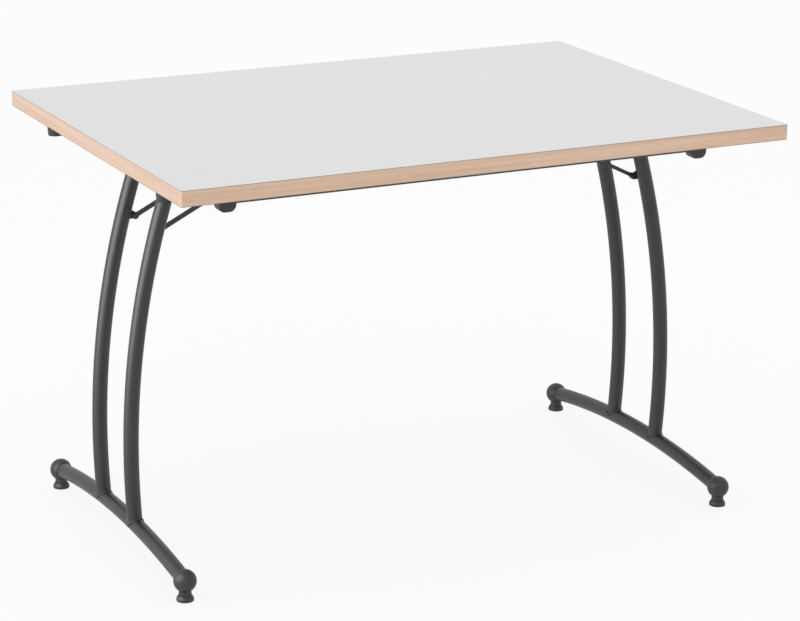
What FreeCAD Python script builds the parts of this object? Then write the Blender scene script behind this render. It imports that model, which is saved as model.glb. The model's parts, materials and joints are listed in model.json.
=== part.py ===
import FreeCAD, Part
import math
import os

# Folding table: a laminate top with solid wood lippings on two bowed double-tube leg frames.
# Frame: origin on the floor under the middle of the top, +X along the top, +Y to the rear, +Z up.
# All sizes are in millimetres. Each side piece is drawn for the right (+X) end and mirrored.

# Table top
TOP_LENGTH = 1150.0
TOP_DEPTH = 800.0
TABLE_HEIGHT = 740.0
CORE_THICKNESS = 25.0
LAMINATE_THICKNESS = 1.0
LIPPING_WIDTH = 20.0
TONGUE_DEPTH = 8.0
TONGUE_HEIGHT = 8.0
CORNER_RADIUS = 3.0

# Leg frames
PIVOT_INSET = 121.0
PIVOT_DROP = 23.0
BOW_INSET = 36.0
BOW_HEIGHT = 190.0
UPRIGHT_SPACING = 150.0
UPRIGHT_DIAMETER = 26.9
CROSS_TUBE_DIAMETER = 26.9
TUBE_WALL = 2.0
FOOT_INSET = 101.0
FOOT_CROWN_HEIGHT = 60.0
FOOT_END_HEIGHT = 35.0
WELD_GAP = 0.1

# Foot caps and levellers
CAP_DIAMETER = 40.0
CAP_SOCKET_FLOOR = 6.5
CAP_PLUG_LENGTH = 24.0
CAP_FIT = 0.15
BOSS_DIAMETER = 22.0
INSERT_DIAMETER = 12.0
INSERT_LENGTH = 11.0
STEM_DIAMETER = 8.0
STEM_ENGAGEMENT = 30.0
STEM_SEAT = 6.5
STEM_HEADROOM = 2.0
PAD_DIAMETER = 30.0
PAD_NECK_DIAMETER = 24.0
PAD_RIM = 4.5
PAD_HEIGHT = 9.5
PAD_GAP = 0.5

# Hinge blocks
BLOCK_WIDTH = 32.0
BLOCK_FLOOR = 7.5
BLOCK_CORNER_RADIUS = 12.0
BLOCK_THICKNESS = 20.0
BLOCK_END_WALL = 6.0
BLOCK_EDGE_RADIUS = 2.0
EAR_LENGTH = 26.0
EAR_THICKNESS = 5.0
EAR_CORNER_RADIUS = 7.0
EAR_SCREW_SPACING = 10.0
SPIGOT_LENGTH = 30.0
RUNNING_CLEARANCE = 0.05
END_PLAY = 0.3

# Stiffening rails
RAIL_INSET = 105.0
RAIL_HEIGHT = 30.0
RAIL_WIDTH = 20.0
RAIL_WALL = 1.5
RAIL_CORNER_RADIUS = 1.2
RAIL_SCREW_COUNT = 4
RAIL_SCREW_MARGIN = 60.0
RAIL_ACCESS_DIAMETER = 10.0

# Folding stays: their slope falls steadily while the leg folds through FOLD_ANGLE_LEFT
FOLD_ANGLE_LEFT = 93.5
FOLD_ANGLE_RIGHT = 89.5
STAY_PIVOT_DROP = 108.0
CROSSBAR_DROP = 9.5
FOLDED_CROSSBAR_DROP = 10.0
STAY_THICKNESS = 5.0
STAY_SHANK_HEIGHT = 7.0
STAY_EYE_DIAMETER = 12.0
LUG_THICKNESS = 4.0
LUG_REACH = 0.5
LUG_ROOT_LENGTH = 22.0
LUG_OVERLAP = 5.0
PIN_DIAMETER = 6.0
PIN_HEAD_DIAMETER = 10.0
PIN_HEAD_HEIGHT = 2.5
CROSSBAR_DIAMETER = 8.0
CROSSBAR_HEAD_DIAMETER = 12.0
CROSSBAR_HEAD_HEIGHT = 3.0
SIDE_CLEARANCE = 0.3

# Stay guides with their slide sleeves and snap clips
GUIDE_WIDTH = 90.0
GUIDE_WALL = 2.5
GUIDE_LIP = 5.0
GUIDE_CENTRE_GAP = 40.0
GUIDE_OVERHANG = 22.0
GUIDE_CORNER_RADIUS = 16.0
GUIDE_SCREW_INSET = 9.0
GUIDE_SCREW_SPACING = 54.0
SLOT_POINTS = 12
SLEEVE_DIAMETER = 10.0
SLEEVE_FLANGE_DIAMETER = 15.0
SLEEVE_FLANGE_THICKNESS = 1.5
SLEEVE_NOSE = 1.0
SLIDE_CLEARANCE = 0.3
CLIP_THICKNESS = 1.2
CLIP_WIDTH = 14.0
CLIP_JAW_LENGTH = 5.0
CLIP_CLEARANCE = 0.6
CLIP_FOOT_LENGTH = 16.0
OPEN_RELEASE_ANGLE = 3.0
FOLDED_RELEASE_ANGLE = 9.0
RIVET_DIAMETER = 4.0
RIVET_HEAD_DIAMETER = 7.0
RIVET_HEAD_HEIGHT = 1.5

# Stacking buffers
BUFFER_END_INSET = 30.0
BUFFER_SIDE_INSET = 145.0
BUFFER_DIAMETER = 30.0
BUFFER_TIP_DIAMETER = 25.0
BUFFER_HEIGHT = 27.0
BUFFER_SEAT_THICKNESS = 6.0

# Wood screws
SCREW_DIAMETER = 4.0
SCREW_HEAD_DIAMETER = 8.0
SCREW_HEAD_HEIGHT = 3.0
SCREW_BITE = 17.0
SCREW_FIT = 0.05
HEAD_FIT = 1.0

# Derived places
V = FreeCAD.Vector
AXIS_X = V(1, 0, 0)
AXIS_Y = V(0, 1, 0)
AXIS_Z = V(0, 0, 1)
HALF_LENGTH = TOP_LENGTH / 2
HALF_DEPTH = TOP_DEPTH / 2
CORE_TOP = TABLE_HEIGHT - LAMINATE_THICKNESS
CORE_BOTTOM = CORE_TOP - CORE_THICKNESS
UNDERSIDE = CORE_BOTTOM - LAMINATE_THICKNESS
PIVOT_X = HALF_LENGTH - PIVOT_INSET
PIVOT_Z = UNDERSIDE - PIVOT_DROP
BOW_X = HALF_LENGTH - BOW_INSET
BOW_RADIUS = ((BOW_X - PIVOT_X) ** 2 + (PIVOT_Z - BOW_HEIGHT) ** 2) / (2 * (BOW_X - PIVOT_X))
BOW_CENTRE_X = BOW_X - BOW_RADIUS
UPRIGHT_Y = UPRIGHT_SPACING / 2
FOOT_SPAN = TOP_DEPTH - 2 * FOOT_INSET
RAIL_OFFSET = HALF_DEPTH - RAIL_INSET
BUFFER_OFFSET = HALF_DEPTH - BUFFER_SIDE_INSET
FOOT_SAG = FOOT_CROWN_HEIGHT - FOOT_END_HEIGHT
FOOT_RADIUS = ((FOOT_SPAN / 2) ** 2 + FOOT_SAG ** 2) / (2 * FOOT_SAG)
FOOT_CENTRE_Z = FOOT_CROWN_HEIGHT - FOOT_RADIUS
BLOCK_INNER_Y = RAIL_OFFSET - BLOCK_THICKNESS / 2
BLOCK_OUTER_Y = RAIL_OFFSET + BLOCK_THICKNESS / 2
BORE_FLOOR_Y = BLOCK_OUTER_Y - BLOCK_END_WALL
BLOCK_BOTTOM = PIVOT_Z - CROSS_TUBE_DIAMETER / 2 - BLOCK_FLOOR
RAIL_END_X = PIVOT_X - BLOCK_WIDTH / 2
LUG_Y = UPRIGHT_Y - UPRIGHT_DIAMETER / 2 - WELD_GAP - LUG_THICKNESS / 2
ARM_Y = LUG_Y - LUG_THICKNESS / 2 - SIDE_CLEARANCE - STAY_THICKNESS / 2
GUIDE_SCREW_SEAT = UNDERSIDE - GUIDE_WALL
NEAR = 0.01


def box(x0, x1, y0, y1, z0, z1):
    """Box between two corners."""
    return Part.makeBox(x1 - x0, y1 - y0, z1 - z0, V(x0, y0, z0))


def rod(diameter, start, end):
    """Round bar between two points."""
    axis = end - start
    return Part.makeCylinder(diameter / 2, axis.Length, start, axis)


def post(diameter, x, y, z0, z1):
    """Upright round bar between two heights."""
    return rod(diameter, V(x, y, z0), V(x, y, z1))


def disc(diameter, centre, thickness):
    """Round plate square to Y, centred on a point."""
    half = AXIS_Y * (thickness / 2)
    return rod(diameter, centre - half, centre + half)


def slab(points, thickness, middle_y):
    """Flat plate in the XZ plane from its corner points, centred on middle_y."""
    corners = [V(p.x, middle_y - thickness / 2, p.z) for p in points]
    face = Part.Face(Part.makePolygon(corners + corners[:1]))
    return face.extrude(AXIS_Y * thickness)


def turned(profile, x, y):
    """Solid of revolution about a vertical axis, from (radius, height) points."""
    corners = [V(x + radius, y, height) for radius, height in profile]
    face = Part.Face(Part.makePolygon(corners + corners[:1]))
    return face.revolve(V(x, y, 0), AXIS_Z, 360)


def runs_along(edge, axis):
    """True for a straight edge that is parallel to an axis."""
    return edge.tangentAt(edge.FirstParameter).cross(axis).Length < NEAR


def joined(shapes):
    """One solid from several that touch or overlap."""
    return shapes[0].fuse(shapes[1:]).removeSplitter()


def to_left(shape):
    """The same piece at the left (-X) end."""
    return shape.mirror(V(0, 0, 0), AXIS_X)


def swap_side(shape):
    """The same piece mirrored from the rear (+Y) to the front, or back."""
    return shape.mirror(V(0, 0, 0), AXIS_Y)


def save(name, *solids):
    """Write one node; several solids make a group."""
    shape = solids[0] if len(solids) == 1 else Part.makeCompound(list(solids))
    shape.exportStep("parts/" + name + ".step")


# Table top


def top_outline(z0, z1):
    """Full-size plate of the top with its rounded corners."""
    plate = box(-HALF_LENGTH, HALF_LENGTH, -HALF_DEPTH, HALF_DEPTH, z0, z1)
    corners = [edge for edge in plate.Edges if runs_along(edge, AXIS_Z)]
    return plate.makeFillet(CORNER_RADIUS, corners)


def inset_plate(inset, z0, z1):
    """Plate that stays the same distance inside every edge of the top."""
    length = HALF_LENGTH - inset
    depth = HALF_DEPTH - inset
    return box(-length, length, -depth, depth, z0, z1)


def tongue_levels():
    """Lower and upper height of the tongue and of its groove."""
    middle = (CORE_BOTTOM + CORE_TOP) / 2
    return middle - TONGUE_HEIGHT / 2, middle + TONGUE_HEIGHT / 2


def pilot_holes(screw_places):
    """Holes for the screws' shanks above the underside."""
    tip = UNDERSIDE + SCREW_BITE
    return [post(SCREW_DIAMETER + 2 * SCREW_FIT, x, y, UNDERSIDE, tip) for x, y in screw_places]


def core_panel(screw_places):
    """Particle board core with a groove all round and pilot holes."""
    low, high = tongue_levels()
    panel = inset_plate(LIPPING_WIDTH, CORE_BOTTOM, CORE_TOP)
    groove = inset_plate(LIPPING_WIDTH, low, high).cut(inset_plate(LIPPING_WIDTH + TONGUE_DEPTH, low, high))
    return panel.cut([groove] + pilot_holes(screw_places))


def lipping_ring():
    """All four lippings and their tongues in one, before the mitres."""
    low, high = tongue_levels()
    frame = top_outline(CORE_BOTTOM, CORE_TOP).cut(inset_plate(LIPPING_WIDTH, CORE_BOTTOM, CORE_TOP))
    tongue = inset_plate(LIPPING_WIDTH, low, high).cut(inset_plate(LIPPING_WIDTH + TONGUE_DEPTH, low, high))
    return joined([frame, tongue])


def mitre_wedge(along_x):
    """Space of one lipping between its two mitres: the front one, or the right one."""
    reach = LIPPING_WIDTH + TONGUE_DEPTH
    if along_x:
        plan = [
            V(-HALF_LENGTH, -HALF_DEPTH, CORE_BOTTOM),
            V(HALF_LENGTH, -HALF_DEPTH, CORE_BOTTOM),
            V(HALF_LENGTH - reach, -HALF_DEPTH + reach, CORE_BOTTOM),
            V(-HALF_LENGTH + reach, -HALF_DEPTH + reach, CORE_BOTTOM),
        ]
    else:
        plan = [
            V(HALF_LENGTH, -HALF_DEPTH, CORE_BOTTOM),
            V(HALF_LENGTH, HALF_DEPTH, CORE_BOTTOM),
            V(HALF_LENGTH - reach, HALF_DEPTH - reach, CORE_BOTTOM),
            V(HALF_LENGTH - reach, -HALF_DEPTH + reach, CORE_BOTTOM),
        ]
    return Part.Face(Part.makePolygon(plan + plan[:1])).extrude(AXIS_Z * CORE_THICKNESS)


def backing_laminate(screw_places):
    """Thin laminate under the core, pierced by the screws."""
    return top_outline(UNDERSIDE, CORE_BOTTOM).cut(pilot_holes(screw_places))


# Leg frames, drawn for the right end


def bow_x(height):
    """Where an upright's centreline stands at a height."""
    return BOW_CENTRE_X + math.sqrt(BOW_RADIUS ** 2 - (height - BOW_HEIGHT) ** 2)


def foot_z(y):
    """Height of the foot tube's centreline at a depth."""
    return FOOT_CENTRE_Z + math.sqrt(FOOT_RADIUS ** 2 - y ** 2)


FOOT_X = bow_x(foot_z(UPRIGHT_Y))


def bowed_upright(diameter, y):
    """Solid bowed bar from the pivot axis down to the foot tube's centreline."""
    top_angle = math.asin((PIVOT_Z - BOW_HEIGHT) / BOW_RADIUS)
    bottom_angle = math.asin((foot_z(y) - BOW_HEIGHT) / BOW_RADIUS)
    tangent = V(math.sin(top_angle), 0, -math.cos(top_angle))
    circle = Part.makeCircle(diameter / 2, V(PIVOT_X, y, PIVOT_Z), tangent)
    face = Part.Face(Part.Wire(circle))
    return face.revolve(V(BOW_CENTRE_X, y, BOW_HEIGHT), AXIS_Y, math.degrees(top_angle - bottom_angle))


def bowed_foot(diameter, start, end):
    """Solid bowed bar along the foot's centreline, between two distances along it from the crown."""
    angle = start / FOOT_RADIUS
    centre = V(FOOT_X, FOOT_RADIUS * math.sin(angle), FOOT_CENTRE_Z + FOOT_RADIUS * math.cos(angle))
    circle = Part.makeCircle(diameter / 2, centre, V(0, math.cos(angle), -math.sin(angle)))
    face = Part.Face(Part.Wire(circle))
    return face.revolve(V(FOOT_X, 0, FOOT_CENTRE_Z), -AXIS_X, math.degrees((end - start) / FOOT_RADIUS))


CAP_ARC = FOOT_RADIUS * math.asin(FOOT_SPAN / 2 / FOOT_RADIUS)
FOOT_TUBE_END = CAP_ARC - CAP_SOCKET_FLOOR


def pivot_tube():
    """Straight tube on the fold axis, with its ends in the hinge blocks."""
    end = BORE_FLOOR_Y - END_PLAY
    outer = rod(CROSS_TUBE_DIAMETER, V(PIVOT_X, -end, PIVOT_Z), V(PIVOT_X, end, PIVOT_Z))
    inner = rod(CROSS_TUBE_DIAMETER - 2 * TUBE_WALL, V(PIVOT_X, -end, PIVOT_Z), V(PIVOT_X, end, PIVOT_Z))
    return outer.cut(inner)


def upright(y):
    """Bowed tube, coped to sit on the pivot tube and on the foot tube."""
    tube = bowed_upright(UPRIGHT_DIAMETER, y).cut(bowed_upright(UPRIGHT_DIAMETER - 2 * TUBE_WALL, y))
    cope = CROSS_TUBE_DIAMETER + 2 * WELD_GAP
    reach = UPRIGHT_DIAMETER
    pivot = rod(cope, V(PIVOT_X, y - reach, PIVOT_Z), V(PIVOT_X, y + reach, PIVOT_Z))
    foot = bowed_foot(cope, y - reach, y + reach)
    return tube.cut([pivot, foot])


def foot_tube():
    """Bowed tube on the floor side, open at both ends for the caps' plugs."""
    outer = bowed_foot(CROSS_TUBE_DIAMETER, -FOOT_TUBE_END, FOOT_TUBE_END)
    inner = bowed_foot(CROSS_TUBE_DIAMETER - 2 * TUBE_WALL, -FOOT_TUBE_END, FOOT_TUBE_END)
    return outer.cut(inner)


BOSS_BOTTOM = PAD_HEIGHT + PAD_GAP
INSERT_TOP = BOSS_BOTTOM + INSERT_LENGTH
STEM_BOTTOM = PAD_HEIGHT - STEM_SEAT
STEM_TOP = BOSS_BOTTOM + STEM_ENGAGEMENT


def foot_cap():
    """Rear ball cap: socket over the tube's end, plug inside it, boss for the leveller below."""
    x, y = FOOT_X, FOOT_SPAN / 2
    ball = Part.makeSphere(CAP_DIAMETER / 2, V(x, y, FOOT_END_HEIGHT))
    boss = post(BOSS_DIAMETER, x, y, BOSS_BOTTOM, FOOT_END_HEIGHT)
    socket_diameter = CROSS_TUBE_DIAMETER + 2 * CAP_FIT
    plug_diameter = CROSS_TUBE_DIAMETER - 2 * TUBE_WALL - 2 * CAP_FIT
    floor = FOOT_TUBE_END + CAP_FIT
    socket = bowed_foot(socket_diameter, FOOT_TUBE_END - CAP_DIAMETER, floor)
    plug = bowed_foot(plug_diameter, FOOT_TUBE_END - CAP_PLUG_LENGTH, floor)
    insert_hole = post(INSERT_DIAMETER + 2 * SCREW_FIT, x, y, BOSS_BOTTOM, INSERT_TOP)
    stem_hole = post(STEM_DIAMETER + 2 * SIDE_CLEARANCE, x, y, BOSS_BOTTOM, STEM_TOP + STEM_HEADROOM)
    return joined([ball.fuse(boss).cut(socket), plug]).cut([insert_hole, stem_hole])


def foot_insert():
    """Rear threaded bush that the leveller's stem turns in."""
    x, y = FOOT_X, FOOT_SPAN / 2
    bush = post(INSERT_DIAMETER, x, y, BOSS_BOTTOM, INSERT_TOP)
    return bush.cut(post(STEM_DIAMETER + 2 * RUNNING_CLEARANCE, x, y, BOSS_BOTTOM, INSERT_TOP))


def leveller_stem():
    """Rear leveller's threaded stem."""
    return post(STEM_DIAMETER, FOOT_X, FOOT_SPAN / 2, STEM_BOTTOM, STEM_TOP)


def leveller_pad():
    """Rear leveller's pad: a flat rim and a cone up to the neck."""
    x, y = FOOT_X, FOOT_SPAN / 2
    profile = [
        (0, 0),
        (PAD_DIAMETER / 2, 0),
        (PAD_DIAMETER / 2, PAD_RIM),
        (PAD_NECK_DIAMETER / 2, PAD_HEIGHT),
        (0, PAD_HEIGHT),
    ]
    return turned(profile, x, y).cut(post(STEM_DIAMETER + 2 * SCREW_FIT, x, y, STEM_BOTTOM, PAD_HEIGHT))


# Folding stays, drawn for the right end


LUG_Z = PIVOT_Z - STAY_PIVOT_DROP
LUG_ANGLE = math.asin((LUG_Z - BOW_HEIGHT) / BOW_RADIUS)
LUG_OUT = V(math.cos(LUG_ANGLE), 0, math.sin(LUG_ANGLE))
LUG_ALONG = V(-math.sin(LUG_ANGLE), 0, math.cos(LUG_ANGLE))
LUG_ROOT = V(bow_x(LUG_Z), 0, LUG_Z)
STAY_PIVOT = LUG_ROOT - LUG_OUT * (UPRIGHT_DIAMETER / 2 + LUG_REACH)


def stay_start(fold):
    """Place of the stay's lower pivot when the leg has folded by an angle in degrees."""
    turn = math.radians(fold)
    outward = STAY_PIVOT.x - PIVOT_X
    below = PIVOT_Z - STAY_PIVOT.z
    x = PIVOT_X + outward * math.cos(turn) - below * math.sin(turn)
    return V(x, 0, PIVOT_Z - outward * math.sin(turn) - below * math.cos(turn))


FOLDED_START = stay_start(FOLD_ANGLE_LEFT)
FOLDED_REACH = FOLDED_START.x - GUIDE_OVERHANG - GUIDE_CENTRE_GAP
FOLDED_RISE = UNDERSIDE - FOLDED_CROSSBAR_DROP - FOLDED_START.z
STAY_LENGTH = math.hypot(FOLDED_REACH, FOLDED_RISE)
STAY_FOLDED_SLOPE = math.degrees(math.atan2(FOLDED_RISE, FOLDED_REACH))
STAY_RISE = UNDERSIDE - CROSSBAR_DROP - STAY_PIVOT.z
STAY_SLOPE = math.degrees(math.asin(STAY_RISE / STAY_LENGTH))


def stay_end(fold):
    """Crossbar's place when the leg has folded by an angle in degrees."""
    slope = math.radians(STAY_SLOPE + (STAY_FOLDED_SLOPE - STAY_SLOPE) * fold / FOLD_ANGLE_LEFT)
    return stay_start(fold) + V(-math.cos(slope), 0, math.sin(slope)) * STAY_LENGTH


def travel_direction(fold):
    """Unit vector of the crossbar's travel as the leg folds."""
    step = 0.1
    return (stay_end(fold + step) - stay_end(fold - step)).normalize()


def across(direction):
    """Unit vector in the XZ plane square to another."""
    return V(-direction.z, 0, direction.x)


def stay_lug():
    """Rear flat lug, welded to the side of its upright that faces the front one."""
    wide = LUG_ALONG * (LUG_ROOT_LENGTH / 2)
    narrow = LUG_ALONG * (STAY_EYE_DIAMETER / 2)
    heel = LUG_ROOT + LUG_OUT * LUG_OVERLAP
    corners = [heel + wide, STAY_PIVOT + narrow, STAY_PIVOT - narrow, heel - wide]
    at = V(STAY_PIVOT.x, LUG_Y, STAY_PIVOT.z)
    lug = joined([slab(corners, LUG_THICKNESS, LUG_Y), disc(STAY_EYE_DIAMETER, at, LUG_THICKNESS)])
    return lug.cut(disc(PIN_DIAMETER + 2 * SCREW_FIT, at, 2 * LUG_THICKNESS))


def stay_pin():
    """Rear pin through the lug and the stay's eye, with a head at each end."""
    outer = LUG_Y + LUG_THICKNESS / 2
    inner = ARM_Y - STAY_THICKNESS / 2 - SIDE_CLEARANCE
    at = V(STAY_PIVOT.x, 0, STAY_PIVOT.z)
    shank = rod(PIN_DIAMETER, at + AXIS_Y * inner, at + AXIS_Y * outer)
    outer_head = rod(PIN_HEAD_DIAMETER, at + AXIS_Y * outer, at + AXIS_Y * (outer + PIN_HEAD_HEIGHT))
    inner_head = rod(PIN_HEAD_DIAMETER, at + AXIS_Y * (inner - PIN_HEAD_HEIGHT), at + AXIS_Y * inner)
    return joined([shank, outer_head, inner_head])


def stay_arm():
    """Rear stamped arm with an eye at each end."""
    low = V(STAY_PIVOT.x, ARM_Y, STAY_PIVOT.z)
    high = stay_end(0) + AXIS_Y * ARM_Y
    side = across((high - low).normalize()) * (STAY_SHANK_HEIGHT / 2)
    shank = slab([low + side, high + side, high - side, low - side], STAY_THICKNESS, ARM_Y)
    eyes = [disc(STAY_EYE_DIAMETER, point, STAY_THICKNESS) for point in (low, high)]
    pin_hole = disc(PIN_DIAMETER + 2 * RUNNING_CLEARANCE, low, 2 * STAY_THICKNESS)
    bar_hole = disc(CROSSBAR_DIAMETER + 2 * SCREW_FIT, high, 2 * STAY_THICKNESS)
    return joined([shank] + eyes).cut([pin_hole, bar_hole])


def stay_crossbar():
    """Round bar between the arms, with riveted heads outside them."""
    at = stay_end(0)
    face = ARM_Y + STAY_THICKNESS / 2
    end = face + CROSSBAR_HEAD_HEIGHT
    bar = rod(CROSSBAR_DIAMETER, at - AXIS_Y * face, at + AXIS_Y * face)
    heads = [
        rod(CROSSBAR_HEAD_DIAMETER, at + AXIS_Y * face, at + AXIS_Y * end),
        rod(CROSSBAR_HEAD_DIAMETER, at - AXIS_Y * end, at - AXIS_Y * face),
    ]
    return joined([bar] + heads)


def slide_sleeve():
    """Rear nylon sleeve on the crossbar, inside the guide's slot, with a flange outside the cheek."""
    at = stay_end(0)
    cheek_outer = GUIDE_WIDTH / 2
    nose = cheek_outer - GUIDE_WALL - SLEEVE_NOSE
    flange = cheek_outer + SIDE_CLEARANCE
    end = flange + SLEEVE_FLANGE_THICKNESS
    body = rod(SLEEVE_DIAMETER, at + AXIS_Y * nose, at + AXIS_Y * flange)
    rim = rod(SLEEVE_FLANGE_DIAMETER, at + AXIS_Y * flange, at + AXIS_Y * end)
    hole = rod(CROSSBAR_DIAMETER + 2 * SCREW_FIT, at + AXIS_Y * nose, at + AXIS_Y * end)
    return joined([body, rim]).cut(hole)


# Stay guides and snap clips, drawn for the right end


SLOT_HALF_WIDTH = SLEEVE_DIAMETER / 2 + SLIDE_CLEARANCE
SLOT_LOWEST = min(stay_end(FOLD_ANGLE_LEFT * k / SLOT_POINTS).z for k in range(SLOT_POINTS + 1))
GUIDE_BOTTOM = SLOT_LOWEST - SLOT_HALF_WIDTH - GUIDE_LIP


def slot(fold_limit):
    """Space that the slide sleeves sweep, as one bar across both cheeks."""
    half = SLOT_HALF_WIDTH
    upper = []
    lower = []
    for k in range(SLOT_POINTS + 1):
        fold = fold_limit * k / SLOT_POINTS
        side = across(travel_direction(fold)) * half
        upper.append(stay_end(fold) + side)
        lower.append(stay_end(fold) - side)
    upper_edge = Part.BSplineCurve()
    upper_edge.interpolate(upper)
    lower_edge = Part.BSplineCurve()
    lower_edge.interpolate(lower)
    outer_tip = stay_end(0) - travel_direction(0) * half
    inner_tip = stay_end(fold_limit) + travel_direction(fold_limit) * half
    edges = [
        upper_edge.toShape(),
        Part.Arc(upper[-1], inner_tip, lower[-1]).toShape(),
        lower_edge.toShape(),
        Part.Arc(lower[0], outer_tip, upper[0]).toShape(),
    ]
    face = Part.Face(Part.Wire(Part.__sortEdges__(edges)))
    face.translate(AXIS_Y * -GUIDE_WIDTH)
    return face.extrude(AXIS_Y * (2 * GUIDE_WIDTH))


def guide_span(fold_limit):
    """Inner and outer end of a guide along the table."""
    return stay_end(fold_limit).x - GUIDE_OVERHANG, stay_end(0).x + GUIDE_OVERHANG


def guide_screw_places(fold_limit):
    """Plan positions of the screws through a guide's web."""
    inner, outer = guide_span(fold_limit)
    places = []
    for x in (inner + GUIDE_SCREW_INSET, outer - GUIDE_SCREW_INSET):
        for y in (-GUIDE_SCREW_SPACING / 2, GUIDE_SCREW_SPACING / 2):
            places.append((x, y))
    return places


def stay_guide(fold_limit):
    """Folded channel under the top: a web and two cheeks with the curved slot."""
    inner, outer = guide_span(fold_limit)
    half = GUIDE_WIDTH / 2
    block = box(inner, outer, -half, half, GUIDE_BOTTOM, UNDERSIDE)
    lower_corners = []
    for edge in block.Edges:
        middle = edge.CenterOfMass
        if abs(middle.y) < NEAR and middle.z < UNDERSIDE - NEAR:
            lower_corners.append(edge)
    block = block.makeFillet(GUIDE_CORNER_RADIUS, lower_corners)
    clear = half - GUIDE_WALL
    hollow = box(inner, outer, -clear, clear, GUIDE_BOTTOM, GUIDE_SCREW_SEAT)
    holes = []
    for x, y in guide_screw_places(fold_limit):
        holes.append(post(SCREW_DIAMETER + 2 * SCREW_FIT, x, y, GUIDE_SCREW_SEAT, UNDERSIDE))
    for x in rivet_places(fold_limit):
        holes.append(post(RIVET_DIAMETER + 2 * SCREW_FIT, x, 0, GUIDE_SCREW_SEAT, UNDERSIDE))
    return block.cut([hollow, slot(fold_limit)] + holes)


CLIP_MIDDLE = CROSSBAR_DIAMETER / 2 + CLIP_CLEARANCE + CLIP_THICKNESS / 2


def clip_opening(held, released):
    """Unit vector from a held crossbar towards where it leaves its clip; both are fold angles."""
    return (stay_end(released) - stay_end(held)).normalize()


def open_clip_opening():
    """Mouth direction of the clip that holds the leg open."""
    return clip_opening(0, OPEN_RELEASE_ANGLE)


def folded_clip_opening(fold_limit):
    """Mouth direction of the clip that holds the leg folded."""
    return clip_opening(fold_limit, fold_limit - FOLDED_RELEASE_ANGLE)


def snap_clip(fold, opening, foot_side):
    """Bent spring strip round the crossbar: open towards its travel, with a foot on the guide's web."""
    at = stay_end(fold)
    inside = CROSSBAR_DIAMETER + 2 * CLIP_CLEARANCE
    outside = inside + 2 * CLIP_THICKNESS
    side = across(opening)
    mouth = at + opening * CLIP_JAW_LENGTH
    half_outside = side * (outside / 2)
    half_inside = side * (inside / 2)
    back_edge = opening * outside
    front_half = slab(
        [at + half_outside, at + half_outside + back_edge, at - half_outside + back_edge, at - half_outside],
        CLIP_WIDTH,
        0,
    )
    bend = disc(outside, at, CLIP_WIDTH).cut([disc(inside, at, 2 * CLIP_WIDTH), front_half])
    jaws = []
    for sign in (-1, 1):
        outer = half_outside * sign
        inner = half_inside * sign
        jaws.append(slab([at + outer, mouth + outer, mouth + inner, at + inner], CLIP_WIDTH, 0))
    back = at - opening * CLIP_MIDDLE
    half = CLIP_THICKNESS / 2
    y = CLIP_WIDTH / 2
    seat = GUIDE_SCREW_SEAT
    neck = box(back.x - half, back.x + half, -y, y, back.z, seat)
    ends = sorted([back.x - foot_side * half, back.x + foot_side * CLIP_FOOT_LENGTH])
    foot = box(ends[0], ends[1], -y, y, seat - CLIP_THICKNESS, seat)
    rivet_x = back.x + foot_side * CLIP_FOOT_LENGTH / 2
    hole = post(RIVET_DIAMETER + 2 * SCREW_FIT, rivet_x, 0, seat - CLIP_THICKNESS, seat)
    return joined([bend] + jaws + [neck, foot]).cut(hole)


def rivet_places(fold_limit):
    """Where the open clip and the folded clip are riveted to the web."""
    open_back = stay_end(0) - open_clip_opening() * CLIP_MIDDLE
    folded_back = stay_end(fold_limit) - folded_clip_opening(fold_limit) * CLIP_MIDDLE
    return open_back.x + CLIP_FOOT_LENGTH / 2, folded_back.x - CLIP_FOOT_LENGTH / 2


def snap_clips(fold_limit):
    """The clip that holds the leg open and the clip that holds it folded."""
    open_clip = snap_clip(0, open_clip_opening(), 1)
    folded_clip = snap_clip(fold_limit, folded_clip_opening(fold_limit), -1)
    return [open_clip, folded_clip]


def clip_rivets(fold_limit):
    """Rivets through the clips' feet and the guide's web."""
    seat = GUIDE_SCREW_SEAT - CLIP_THICKNESS
    rivets = []
    for x in rivet_places(fold_limit):
        head = post(RIVET_HEAD_DIAMETER, x, 0, seat - RIVET_HEAD_HEIGHT, seat)
        rivets.append(joined([head, post(RIVET_DIAMETER, x, 0, seat, UNDERSIDE)]))
    return rivets


# Hinge blocks and rails, drawn for the right rear and for the rear


def block_screw_places():
    """Plan positions of the two screws through a block's ear."""
    x = PIVOT_X + BLOCK_WIDTH / 2 + EAR_LENGTH / 2
    return [(x, RAIL_OFFSET - EAR_SCREW_SPACING / 2), (x, RAIL_OFFSET + EAR_SCREW_SPACING / 2)]


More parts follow.
